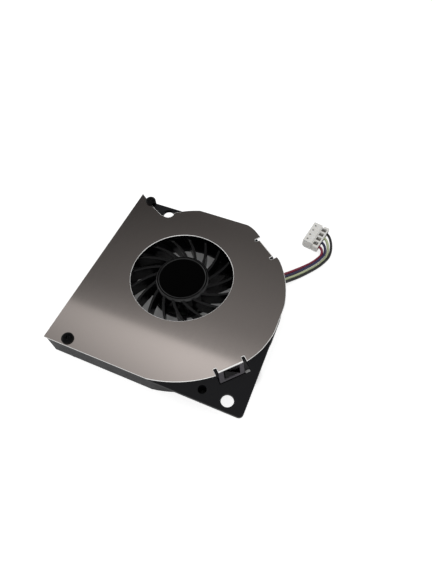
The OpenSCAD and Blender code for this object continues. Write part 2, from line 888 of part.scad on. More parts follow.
// Closed tube with sides corners that follows the points q
module tube(q, r, sides) {
    n = len(q);
    rings = [for (i = [0 : n - 1])
        let (d = q[min(i + 1, n - 1)] - q[max(i - 1, 0)],
             t = d / norm(d),
             left = cross([0, 0, 1], t) / norm(cross([0, 0, 1], t)),
             up = cross(t, left))
            for (s = [0 : sides - 1])
                q[i] + r * (cos(360 / sides * (s + 0.5)) * left
                            + sin(360 / sides * (s + 0.5)) * up)];
    faces = concat(
        [[for (s = [sides - 1 : -1 : 0]) s]],
        [for (i = [0 : n - 2], s = [0 : sides - 1])
            [i * sides + s, i * sides + (s + 1) % sides,
             (i + 1) * sides + (s + 1) % sides, (i + 1) * sides + s]],
        [[for (s = [0 : sides - 1]) (n - 1) * sides + s]]
    );
    polyhedron(points = rings, faces = faces, convexity = 6);
}

module wire(k) {
    tube(wire_points(k), wire_r, 8);
}

module wire_red() { color([0.60, 0.08, 0.14]) wire(0); }

module wire_blue() { color([0.12, 0.10, 0.42]) wire(1); }

module wire_yellow() { color([0.72, 0.74, 0.42]) wire(2); }

module wire_black() { color([0.06, 0.06, 0.06]) wire(3); }

module connector_frame() {
    translate([connector_middle[0], connector_middle[1], 0]) rotate(connector_angle)
        mirror([0, 1, 0]) children();
}

// Connector body in its own frame: x along the row of contacts, y towards the wires
module connector_housing() {
    l = connector_length;
    d = connector_depth;
    h = connector_height;
    hole = contact_pitch - connector_wall;
    chamfer = 0.7;
    face = -d / 2;
    split = face + front_part;
    color([0.90, 0.90, 0.88])
    connector_frame()
        difference() {
            union() {
                translate([-l / 2, 0, 0]) rotate([90, 0, 90]) linear_extrude(l)
                    polygon([[face + chamfer, 0], [split, 0], [split, h], [face, h],
                             [face, chamfer]]);
                translate([-l / 2 + 0.2, split - eps, 0])
                    cube([l - 0.4, d - front_part + eps, rear_height]);
                for (side = [-1, 1])
                    translate([side * (l / 2 - 0.3 + wing_length / 2) - wing_length / 2 - 0.1,
                               d / 2 - wing_depth, 0.5])
                        cube([wing_length + 0.2, wing_depth, rear_height - 0.5]);
            }
            for (k = [0 : 3])
                translate([(k - 1.5) * contact_pitch, 0, 0]) {
                    translate([-hole / 2, face + face_wall, h / 2 - hole / 2])
                        cube([hole, d, hole]);
                    translate([-port_size / 2, face - over, h / 2 - port_size / 2])
                        cube([port_size, d, port_size]);
                    translate([-window_size / 2, face + window_distance - window_size / 2, h / 2])
                        cube([window_size, window_size, h]);
                    translate([-hole / 2, split + 0.35, h / 2])
                        cube([hole, d - front_part - 0.85, h]);
                }
        }
}

// Crimped contacts: box that grips the pin, and a barrel round the wire
module crimp_contacts() {
    d = connector_depth;
    z = connector_height / 2;
    box = contact_pitch - connector_wall - 0.1;
    barrel = wire_r + 0.06;
    barrel_length = 1.6;
    box_length = d - 1.2 - barrel_length + eps;
    color([0.80, 0.79, 0.74])
    connector_frame()
        for (k = [0 : 3])
            translate([(k - 1.5) * contact_pitch, 0, z]) {
                difference() {
                    translate([-box / 2, -d / 2 + 0.6, -box / 2])
                        cube([box, box_length, box]);
                    translate([-box / 2 + 0.2, -d / 2, -box / 2 + 0.2])
                        cube([box - 0.4, box_length + 0.4, box - 0.4]);
                }
                translate([0, d / 2 - barrel_length - 0.6, 0]) rotate([-90, 0, 0])
                    difference() {
                        cylinder(r = barrel + 0.12, h = barrel_length, $fn = 24);
                        translate([0, 0, 0.1])
                            cylinder(r = barrel, h = barrel_length, $fn = 24);
                    }
            }
}

base_housing();
front_ear();
guide_lug();
back_ear();
top_cover();
cover_screws();
impeller();
rotor_yoke();
ring_magnet();
shaft();
oil_slinger();
bearing_tube();
bearing_sleeve();
thrust_plate();
retaining_ring();
stator_core();
upper_insulator();
lower_insulator();
coil_windings();
winding_pins();
driver_board();
driver_chip();
hall_sensor();
chip_components();
solder_joints();
wire_red();
wire_blue();
wire_yellow();
wire_black();
connector_housing();
crimp_contacts();
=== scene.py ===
"""Looks of a slim blower fan: brushed cover, moulded housing, impeller, leads and plug.

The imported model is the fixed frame, in metres: origin on the rotor axis at the underside,
+Z towards the sheet cover, -X out of the air outlet. Each class builds or dresses one
sub-assembly of it. Sizes of the fan's pieces are in millimetres, and those of the camera
and the studio in metres.
"""

import logging
import math
from collections.abc import Callable, Iterable
from dataclasses import dataclass, field
from enum import Enum
from functools import partial

import bpy
from bpy.types import Material, Node, NodeOutputs, NodeSocket, NodeTree, Object
from mathutils import Matrix, Vector
from mathutils.bvhtree import BVHTree


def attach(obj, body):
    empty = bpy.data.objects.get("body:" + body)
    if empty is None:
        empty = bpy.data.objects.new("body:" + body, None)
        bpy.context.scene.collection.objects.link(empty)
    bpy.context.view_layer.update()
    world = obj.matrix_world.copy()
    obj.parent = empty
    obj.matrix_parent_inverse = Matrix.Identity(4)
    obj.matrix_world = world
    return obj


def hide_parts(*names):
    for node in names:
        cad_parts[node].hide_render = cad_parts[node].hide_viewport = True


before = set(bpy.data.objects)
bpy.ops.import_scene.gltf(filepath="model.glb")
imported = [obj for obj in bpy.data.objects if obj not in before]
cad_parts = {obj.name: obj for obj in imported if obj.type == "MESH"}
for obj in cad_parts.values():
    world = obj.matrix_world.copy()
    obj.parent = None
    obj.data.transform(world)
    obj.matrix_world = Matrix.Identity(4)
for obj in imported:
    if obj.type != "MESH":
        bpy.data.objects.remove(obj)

LOG = logging.getLogger("blower")
MM = 0.001
# points closer together than this are one point
WELD = 0.001 * MM
# faces narrower than this are slivers
SLIVER = 0.005 * MM
# faces whose slopes differ by less than this are one flat face
FLAT_ANGLE = math.radians(0.2)
# a point is a spike if it lies this share of a rounding's width off the old surface
SPIKE = 0.45
# how strongly a large face keeps its own shading beside a rounding, of 100
FLAT_WEIGHT = 95
# a face looks up or down if its normal has this much of that direction
FACING = 0.9
# faces this near to a piece's highest or lowest point are its top or bottom
LEVEL = 0.01 * MM
# noise hardly leaves this range
NOISE_RANGE = (0.3, 0.7)


class Body(Enum):
    """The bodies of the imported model."""

    HOUSING = "housing"
    ROTOR = "rotor"


# Small tools


def linear(code: str) -> tuple[float, float, float, float]:
    """Turns an sRGB colour into linear light.

    Args:
        code: the colour as #rrggbb.

    Returns:
        Red, green, blue and alpha.
    """
    parts = [int(code[i:i + 2], 16) / 255 for i in (1, 3, 5)]
    r, g, b = (c / 12.92 if c <= 0.04045 else ((c + 0.055) / 1.055) ** 2.4 for c in parts)
    return r, g, b, 1.0


def add_node(tree: NodeTree, kind: str, inputs: dict | None = None,
             **settings: object) -> Node:
    """Adds a node with its settings and links.

    Args:
        tree: the node tree that takes the node.
        kind: the node's type.
        inputs: for each input's name or number, a constant or the socket that feeds it.
        settings: the node's own properties.

    Returns:
        The new node.
    """
    node = tree.nodes.new(kind)
    for name, value in settings.items():
        setattr(node, name, value)
    for key, value in (inputs or {}).items():
        if isinstance(value, NodeSocket):
            tree.links.new(value, node.inputs[key])
        else:
            node.inputs[key].default_value = value
    return node


def only(obj: Object) -> None:
    """Selects one object and makes it the active one.

    Args:
        obj: the object to work on.
    """
    for other in bpy.context.selected_objects:
        other.select_set(False)
    obj.select_set(True)
    bpy.context.view_layer.objects.active = obj


def edit(obj: Object, *steps: Callable[[], object]) -> None:
    """Runs operators on an object in edit mode.

    Args:
        obj: the mesh object.
        steps: calls that each run one operator.
    """
    only(obj)
    bpy.ops.object.mode_set(mode="EDIT")
    for step in steps:
        step()
    bpy.ops.object.mode_set(mode="OBJECT")


def pick_faces(obj: Object, test: Callable[[Vector, Vector], bool]) -> None:
    """Selects the faces that pass a test, and no other.

    Args:
        obj: the mesh object, in object mode.
        test: takes a face's middle and normal.
    """
    edit(obj, lambda: bpy.ops.mesh.select_mode(type="FACE"),
         lambda: bpy.ops.mesh.select_all(action="DESELECT"))
    for face in obj.data.polygons:
        face.select = test(face.center, face.normal)


def apply_modifier(obj: Object, kind: str, **settings: object) -> None:
    """Adds a modifier and applies it.

    Args:
        obj: the object.
        kind: the modifier's type.
        settings: its properties.
    """
    only(obj)
    modifier = obj.modifiers.new(kind.lower(), kind)
    for name, value in settings.items():
        setattr(modifier, name, value)
    bpy.ops.object.modifier_apply(modifier=modifier.name)


def place(obj: Object, matrix: Matrix | None = None) -> None:
    """Moves an object's place into its mesh, so that it sits at the origin.

    Args:
        obj: the object.
        matrix: a further move of the mesh.
    """
    only(obj)
    bpy.ops.object.transform_apply(location=True, rotation=True, scale=True)
    if matrix is not None:
        obj.data.transform(matrix)
        obj.data.update()


def primitive(add: Callable[..., object], scale: Iterable[float] = (1, 1, 1),
              turn: float = 0, **sizes: object) -> Object:
    """Adds a primitive with nothing else selected, and moves its place into its mesh.

    Args:
        add: the operator that adds it.
        scale: its stretch along each axis.
        turn: its turn about Z, in degrees.
        sizes: the operator's own sizes and place, in metres.

    Returns:
        The new object.
    """
    bpy.ops.object.select_all(action="DESELECT")
    add(**sizes)
    made = bpy.context.active_object
    made.scale = scale
    made.rotation_euler = (0, 0, math.radians(turn))
    place(made)
    return made


def copy_of(nodes: Iterable[str], name: str, slivers: bool = False) -> Object:
    """Makes one closed mesh from copies of CAD nodes that lie against each other.

    Args:
        nodes: the CAD nodes; their own meshes are left alone.
        name: the new object's name.
        slivers: whether the mesh has slivers, which are then taken out.

    Returns:
        The new object, with flat faces in one piece each.
    """
    copies = []
    for node in nodes:
        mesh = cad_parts[node].data.copy()
        mesh.materials.clear()
        part = bpy.data.objects.new(name if not copies else f"{name}_{node}", mesh)
        bpy.context.scene.collection.objects.link(part)
        edit(part, lambda: bpy.ops.mesh.select_all(action="SELECT"),
             lambda: bpy.ops.mesh.remove_doubles(threshold=WELD),
             lambda: bpy.ops.mesh.customdata_custom_splitnormals_clear())
        copies.append(part)
    whole = copies[0]
    for part in copies[1:]:
        apply_modifier(whole, "BOOLEAN", operation="UNION", solver="EXACT", object=part)
        bpy.data.objects.remove(part)
    edit(whole, lambda: bpy.ops.mesh.select_all(action="SELECT"),
         lambda: bpy.ops.mesh.remove_doubles(threshold=WELD))
    if slivers:
        edit(whole, lambda: bpy.ops.mesh.dissolve_degenerate(threshold=SLIVER))
    edit(whole, lambda: bpy.ops.mesh.select_all(action="SELECT"),
         lambda: bpy.ops.mesh.dissolve_limited(angle_limit=FLAT_ANGLE))
    return whole


def soften(obj: Object, width_mm: float, angle: float = 35, segments: int = 2,
           clamp: bool = False) -> None:
    """Rounds the sharp edges of a piece and shades it with its flat faces kept flat.

    At an acute corner a rounding can shoot out into a spike. A point that lies further from
    the piece's old surface than a rounding goes is put back on that surface.

    Args:
        obj: the piece.
        width_mm: how far the rounding reaches from the edge.
        angle: edges sharper than this, in degrees, are rounded.
        segments: faces across the rounding.
        clamp: whether the narrowest face limits the rounding of the whole piece.
    """
    mesh = obj.data
    mesh.calc_loop_triangles()
    before = BVHTree.FromPolygons([v.co.copy() for v in mesh.vertices],
                                  [tuple(t.vertices) for t in mesh.loop_triangles])
    apply_modifier(obj, "BEVEL", width=width_mm * MM, segments=segments,
                   limit_method="ANGLE", angle_limit=math.radians(angle),
                   use_clamp_overlap=clamp, miter_outer="MITER_ARC")
    for vertex in obj.data.vertices:
        nearest, _, _, away = before.find_nearest(vertex.co)
        if away > SPIKE * width_mm * MM:
            vertex.co = nearest
    obj.data.update()
    only(obj)
    bpy.ops.object.shade_smooth()
    apply_modifier(obj, "WEIGHTED_NORMAL", mode="FACE_AREA", weight=FLAT_WEIGHT,
                   keep_sharp=False)


def hand_over(obj: Object, body: Body, finish: "Finish",
              replaces: Iterable[str] = ()) -> Object:
    """Gives a piece its finish, its body and the CAD nodes that it stands for.

    Args:
        obj: the piece.
        body: the CAD body that it moves with.
        finish: its surface.
        replaces: the CAD nodes that it stands for.

    Returns:
        The piece.
    """
    obj.data.materials.clear()
    obj.data.materials.append(finish.material())
    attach(obj, body.value)
    if replaces:
        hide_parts(*replaces)
    LOG.info("%s: %s", obj.name, finish.name)
    return obj


# Finishes


# inputs of a shader, as (name, value) pairs
Inputs = tuple[tuple[str, float | tuple[float, ...]], ...]


@dataclass(frozen=True)
class Finish:
    """A surface with the values that its kind of material has.

    Attributes:
        name: what the material is.
        colour: its sRGB colour.
        roughness: of the shader.
        metallic: 1 for bare metal.
        ior: of anything but bare metal.
        shade: how much darker and lighter the pattern makes the colour, as a share.
        rough: how much the pattern lowers and raises the roughness.
        more: further inputs of the shader.
    """

    name: str
    colour: str
    roughness: float = 0.5
    metallic: float = 0.0
    ior: float = 1.5
    shade: float = 0.12
    rough: float = 0.05
    more: Inputs = ()

    def material(self) -> Material:
        """Builds the material at the first call.

        Returns:
            The material.
        """
        found = bpy.data.materials.get(self.name)
        if found:
            return found
        made = bpy.data.materials.new(self.name)
        made.use_nodes = True
        tree = made.node_tree
        shader = tree.nodes["Principled BSDF"]
        shader.inputs["Base Color"].default_value = linear(self.colour)
        shader.inputs["Roughness"].default_value = self.roughness
        shader.inputs["Metallic"].default_value = self.metallic
        if not self.metallic:
            shader.inputs["IOR"].default_value = self.ior
        for name, value in self.more:
            shader.inputs[name].default_value = value
        self.dress(tree, shader)
        return made

    def dress(self, tree: NodeTree, shader: Node) -> None:
        """Adds the pattern of the surface; a plain one has none.

        Args:
            tree: the material's node tree.
            shader: its main shader.
        """

    def noise(self, tree: NodeTree, grain_mm: float,
              stretch: tuple[float, float, float] = (1, 1, 1),
              detail: float = 3.0) -> NodeSocket:
        """Adds noise of a real grain size.

        Args:
            tree: the node tree.
            grain_mm: size of a grain.
            stretch: how many times finer the grain is along each axis.
            detail: octaves.

        Returns:
            The noise's value.
        """
        coords = add_node(tree, "ShaderNodeTexCoord")
        mapping = add_node(tree, "ShaderNodeMapping",
                           {"Vector": coords.outputs["Object"], "Scale": stretch})
        return add_node(tree, "ShaderNodeTexNoise",
                        {"Vector": mapping.outputs["Vector"], "Scale": 1 / (grain_mm * MM),
                         "Detail": detail}).outputs["Fac"]

    def vary(self, tree: NodeTree, shader: Node, value: NodeSocket) -> None:
        """Lets a value shift the colour and the roughness.

        Args:
            tree: the node tree.
            shader: the main shader.
            value: from 0 to 1.
        """
        colour = linear(self.colour)
        dark = tuple(c * (1 - self.shade) for c in colour[:3]) + (1.0,)
        light = tuple(min(1.0, c * (1 + self.shade)) for c in colour[:3]) + (1.0,)
        mixed = add_node(tree, "ShaderNodeMix", {0: value, 6: dark, 7: light},
                         data_type="RGBA")
        tree.links.new(mixed.outputs[2], shader.inputs["Base Color"])
        spread = add_node(tree, "ShaderNodeMapRange",
                          {"Value": value, "From Min": NOISE_RANGE[0],
                           "From Max": NOISE_RANGE[1], "To Min": self.roughness - self.rough,
                           "To Max": self.roughness + self.rough})
        tree.links.new(spread.outputs["Result"], shader.inputs["Roughness"])

    def bump(self, tree: NodeTree, shader: Node, height: NodeSocket, depth_mm: float,
             strength: float = 1.0) -> None:
        """Lets a value raise the surface.

        Args:
            tree: the node tree.
            shader: the main shader.
            height: from 0 to 1.
            depth_mm: how high 1 is.
            strength: of the effect.
        """
        raised = add_node(tree, "ShaderNodeBump", {"Height": height, "Distance": depth_mm * MM,
                                                   "Strength": strength})
        tree.links.new(raised.outputs["Normal"], shader.inputs["Normal"])


@dataclass(frozen=True)
class Plastic(Finish):
    """Thermoplastic from a mould: a fine eroded grain and faint flow clouds.

    Attributes:
        grain_mm: grain of the mould, drawn coarser than it is, so that it shows.
        depth_mm: its depth.
        cloud_mm: size of a flow cloud.
    """

    rough: float = 0.04
    grain_mm: float = 0.22
    depth_mm: float = 0.004
    cloud_mm: float = 6.0

    def dress(self, tree: NodeTree, shader: Node) -> None:
        """Adds the grain, and clouds in the shade."""
        self.vary(tree, shader, self.noise(tree, self.cloud_mm))
        self.bump(tree, shader, self.noise(tree, self.grain_mm), self.depth_mm)


@dataclass(frozen=True)
class Insulation(Plastic):
    """Extruded PVC: its grain is the strands' waves, its clouds are handling marks."""

    shade: float = 0.1
    rough: float = 0.06
    grain_mm: float = 0.5
    depth_mm: float = 0.006
    cloud_mm: float = 1.5
    more: Inputs = (("Coat Weight", 0.2), ("Coat Roughness", 0.2))


@dataclass(frozen=True)
class NaturalNylon(Plastic):
    """Unfilled white nylon: light goes a little way into it, red the furthest."""

    shade: float = 0.03
    rough: float = 0.05
    grain_mm: float = 0.18
    depth_mm: float = 0.003
    cloud_mm: float = 1.2
    more: Inputs = (
        ("Subsurface Weight", 0.15), ("Subsurface Radius", (0.8 * MM, 0.7 * MM, 0.6 * MM)),
        ("Subsurface Scale", 1.0))


@dataclass(frozen=True)
class BrushedSheet(Finish):
    """Cold-rolled stainless sheet, belt-brushed: fine lines that spread reflections.

    Attributes:
        line_mm: spacing of the brush lines, drawn coarser than it is, so that they show.
        reach_mm: length of a line, along Y.
        octaves: of the lines.
        depth_mm: of a line.
        strength: of the lines' relief.
    """

    shade: float = 0.04
    rough: float = 0.02
    more: Inputs = (("Anisotropic", 0.5),)
    line_mm: float = 0.06
    reach_mm: float = 5.0
    octaves: float = 2.0
    depth_mm: float = 0.0002
    strength: float = 0.4

    def dress(self, tree: NodeTree, shader: Node) -> None:
        """Adds the brush lines, and draws reflections out across them.

        Args:
            tree: the material's node tree.
            shader: its main shader.
        """
        lines = self.noise(tree, self.line_mm, (1, self.line_mm / self.reach_mm, 1),
                           self.octaves)
        self.vary(tree, shader, lines)
        self.bump(tree, shader, lines, self.depth_mm, self.strength)
        tangent = add_node(tree, "ShaderNodeTangent", direction_type="UV_MAP", uv_map="plan")
        tree.links.new(tangent.outputs["Tangent"], shader.inputs["Tangent"])


@dataclass(frozen=True)
class TurnedMetal(Finish):
    """Turned, ground or drawn metal: faint rings round the rotor axis.

    Attributes:
        ring_mm: spacing of the rings.
        waver: how uneven the rings are.
        octaves: of that unevenness.
    """

    shade: float = 0.06
    ring_mm: float = 0.12
    waver: float = 0.5
    octaves: float = 2.0

    def dress(self, tree: NodeTree, shader: Node) -> None:
        """Adds the rings to shade and roughness.

        Args:
            tree: the material's node tree.
            shader: its main shader.
        """
        coords = add_node(tree, "ShaderNodeTexCoord")
        rings = add_node(tree, "ShaderNodeTexWave",
                         {"Vector": coords.outputs["Object"], "Scale": 1 / (self.ring_mm * MM),
                          "Distortion": self.waver, "Detail": self.octaves},
                         wave_type="RINGS", rings_direction="Z")
        self.vary(tree, shader, rings.outputs["Fac"])


@dataclass(frozen=True)
class GroundMetal(Finish):
    """Plated, sintered or punched metal with an even fine grain.

    Attributes:
        grain_mm: size of a grain.
        depth_mm: its depth.
    """

    rough: float = 0.08
    grain_mm: float = 0.12
    depth_mm: float = 0.001

    def dress(self, tree: NodeTree, shader: Node) -> None:
        """Adds the grain to shade, roughness and surface.

        Args:
            tree: the material's node tree.
            shader: its main shader.
        """
        grain = self.noise(tree, self.grain_mm)
        self.vary(tree, shader, grain)
        self.bump(tree, shader, grain, self.depth_mm)


@dataclass(frozen=True)
class WoundWire(Finish):
    """Enamelled copper wire wound in turns: round ridges across the winding, with painted shade
    in the gaps between the turns and a painted highlight on their tops.

    Attributes:
        wire_mm: diameter of the wire.
    """

    # how dark the painted shade in the gaps is, and how light the painted highlight on the tops
    shade: float = 0.35
    wire_mm: float = 0.12

    def dress(self, tree: NodeTree, shader: Node) -> None:
        """Adds a ridge for each turn, with the gaps painted darker as shade and the tops painted
        lighter as highlight.

        Args:
            tree: the material's node tree.
            shader: its main shader.
        """
        coords = add_node(tree, "ShaderNodeTexCoord")
        turns = add_node(tree, "ShaderNodeTexWave",
                         {"Vector": coords.outputs["Object"],
                          "Scale": 1 / (self.wire_mm * MM) / (2 * math.pi)},
                         wave_type="RINGS", rings_direction="Z")
        self.vary(tree, shader, turns.outputs["Fac"])
        self.bump(tree, shader, turns.outputs["Fac"], self.wire_mm / 2)


@dataclass(frozen=True)
class SolderMask(Finish):
    """Glass-epoxy board under solder mask: glossy, with the weave just visible.

    Attributes:
        weave_mm: spacing of the glass threads.
        gap: between two threads, as a share of that spacing.
        depth_mm: of the weave.
        strength: of the weave's relief.
    """

    more: Inputs = (("Coat Weight", 0.4),)
    weave_mm: float = 0.5
    gap: float = 0.05
    depth_mm: float = 0.004
    strength: float = 0.4

    def dress(self, tree: NodeTree, shader: Node) -> None:
        """Adds the weave, in square cells.

        Args:
            tree: the material's node tree.
            shader: its main shader.
        """
        coords = add_node(tree, "ShaderNodeTexCoord")
        weave = add_node(tree, "ShaderNodeTexBrick",
                         {"Vector": coords.outputs["Object"], "Scale": 1 / (self.weave_mm * MM),
                          "Mortar Size": self.gap, "Brick Width": 1.0, "Row Height": 1.0})
        self.bump(tree, shader, weave.outputs["Fac"], self.depth_mm, self.strength)


class Finishes:
    """Every finish of the fan, named for what the material is."""

    # PBT with glass fibre from an eroded mould: near black, and its pits shade their own gloss
    HOUSING = Plastic("moulded_black_pbt", "#0e0e11", 0.4, ior=1.28)
    # the impeller's compound is smoother, so its edges catch thin lines of light
    IMPELLER = Plastic("moulded_black_impeller_compound", "#040405", 0.24, ior=1.4,
                       grain_mm=0.3, depth_mm=0.001)
    # the recess in the hub's top: same compound, deeply eroded, so almost without gloss
    RECESS = Plastic("eroded_black_impeller_recess", "#020202", 0.5, ior=1.07, grain_mm=0.15)
    # ferritic stainless, finely belt-brushed: warm grey, mirrors the studio with soft borders
    COVER = BrushedSheet("brushed_stainless_sheet", "#b8afaa", 0.09, 1.0)
    # punched edges and roundings of the same sheet: bare metal, its colour raised to near white
    # as a painted highlight
    EDGE_HIGHLIGHT = GroundMetal("punched_stainless_edge_painted_highlight", "#fbf9f6", 0.25, 1.0, grain_mm=0.08)
    # the snap tabs below their bend: unbrushed and dull from rolling, and painted dark as shade,
    # since they hang below the cover's edge
    TAB_SHADE = GroundMetal("rolled_stainless_tab_painted_shade", "#646166", 0.45, 1.0, grain_mm=0.2)
    # steel with a black zinc coat: almost without gloss
    SCREW = GroundMetal("blackened_screw_steel", "#030304", 0.32, 0.0, 1.17, grain_mm=0.1)
    # nickel-plated steel, drawn into a cup: silvery, with soft rings
    YOKE = TurnedMetal("drawn_plated_steel", "#a7a9ac", 0.3, 1.0)
    # ferrite powder bonded with resin: dull and dark brown
    MAGNET = GroundMetal("bonded_ferrite", "#3a3633", 0.6, 0.0, 1.6, grain_mm=0.1)
    # hardened and ground steel: bright, with sharp reflections
    SHAFT = TurnedMetal("ground_hardened_steel", "#c9cbce", 0.16, 1.0)
    # unfilled acetal: cream, with a soft sheen
    WASHER = Plastic("natural_polymer", "#d9d4c2", 0.45)
    # brass from the lathe: yellow, with faint tool rings
    BRASS = TurnedMetal("turned_brass", "#cfae62", 0.24, 1.0)
    # bronze powder, sintered and soaked in oil: brown and finely pitted
    BEARING = GroundMetal("oil_filled_sintered_bronze", "#a98353", 0.42, 1.0, grain_mm=0.08)
    # stack of punched steel sheets: grey, dull at the cut
    CORE = GroundMetal("punched_silicon_steel", "#8a8a8c", 0.4, 1.0, grain_mm=0.3)
    # unfilled polyester: ivory, with a soft sheen
    INSULATOR = Plastic("natural_moulded_polyester", "#e2dcc8", 0.45)
    # copper wire under clear enamel: red brown, and each turn shines; the gaps between turns are
    # painted darker as shade and the tops lighter as highlight
    COPPER = WoundWire("enamelled_copper_turns", "#b5622f", 0.25, 1.0)
    # tin, solidified from the melt: silvery, slightly grainy
    TIN = GroundMetal("tinned_pin_and_solder", "#cfcdc6", 0.3, 1.0, grain_mm=0.15)
    # tin over phosphor bronze, dull from the crimping
    CRIMP = GroundMetal("tinned_phosphor_bronze", "#8b8882", 0.42, 1.0, grain_mm=0.15)
    # glass-epoxy board under a black mask: glossy, with a trace of green
    BOARD = SolderMask("black_solder_mask_board", "#0d1410", 0.3)
    # epoxy filled with quartz: matt and dark grey
    CHIP = Plastic("moulded_epoxy", "#1e1e1e", 0.5, grain_mm=0.1)
    # fired ceramic: tan, half matt
    CERAMIC = GroundMetal("fired_ceramic", "#a08a6c", 0.45, 0.0, 1.7, grain_mm=0.1)
    # soft PVC, coloured all through: a blurred line of light along each lead
    RED = Insulation("red_extruded_pvc", "#7d0f30", 0.35)
    BLUE = Insulation("blue_extruded_pvc", "#1b1545", 0.35)
    YELLOW = Insulation("yellow_extruded_pvc", "#b6bf98", 0.35)
    BLACK = Insulation("black_extruded_pvc", "#060607", 0.35)
    # polyester film over the leads on their spoke: black, half matt
    TAPE = Plastic("black_polyester_tape", "#060606", 0.5, ior=1.3)
    # nylon as it comes: white, with edges that the light inside softens
    NYLON = NaturalNylon("natural_white_nylon", "#e2e1dd", 0.42)


# Camera and studio


@dataclass
class PhotoCamera:
    """The camera of the photograph, worked out from the fan's outline and intake.

    Attributes:
        azimuth: direction that it looks from, in degrees.
        elevation: height above the horizon, in degrees.
        roll: turn about its own axis, in degrees.
        distance: to the target, in metres.
        target: the point in the middle of the picture, in metres.
        focal: focal length, in millimetres.
        sensor: width of the sensor, which spans the picture's long side, in millimetres.
        near: distance from which things are drawn, in metres.
    """

    azimuth: float = 24.53
    elevation: float = 57.74
    roll: float = -2.11
    distance: float = 0.11568
    target: Vector = field(default_factory=lambda: Vector((0.010614, -0.00045, 0.0085)))
    focal: float = 26.2
    sensor: float = 36
    near: float = 0.005

    def build(self) -> None:
        """Makes the camera the scene's."""
        az, el, roll = (math.radians(a) for a in (self.azimuth, self.elevation, self.roll))
        back = Vector((math.sin(az) * math.cos(el), -math.cos(az) * math.cos(el), math.sin(el)))
        flat = Vector((math.cos(az), math.sin(az), 0))
        tall = back.cross(flat)
        right = math.cos(roll) * flat + math.sin(roll) * tall
        up = -math.sin(roll) * flat + math.cos(roll) * tall
        data = bpy.data.cameras.new("photo_camera")
        data.lens = self.focal
        data.sensor_width = self.sensor
        data.clip_start = self.near
        camera = bpy.data.objects.new("photo_camera", data)
        camera.matrix_world = Matrix.Translation(self.target + back * self.distance) @ Matrix(
            (right, up, back)).transposed().to_4x4()
        bpy.context.scene.collection.objects.link(camera)
        bpy.context.scene.camera = camera


@dataclass(frozen=True)
class SoftLight:
    """A rectangular soft light that faces the fan.

    Attributes:
        name: of the light.
        at: its middle, in metres.
        size: its two sides, in metres.
        power: in watts.
    """

    name: str
    at: tuple[float, float, float]
    size: tuple[float, float]
    power: float

    def build(self) -> None:
        """Hangs the light and turns it to the fan."""
        data = bpy.data.lights.new(self.name, "AREA")
        data.shape = "RECTANGLE"
        data.size, data.size_y = self.size
        data.energy = self.power
        light = bpy.data.objects.new(self.name, data)
        light.location = self.at
        light.rotation_euler = (-Vector(self.at)).to_track_quat("-Z", "Y").to_euler()
        bpy.context.scene.collection.objects.link(light)


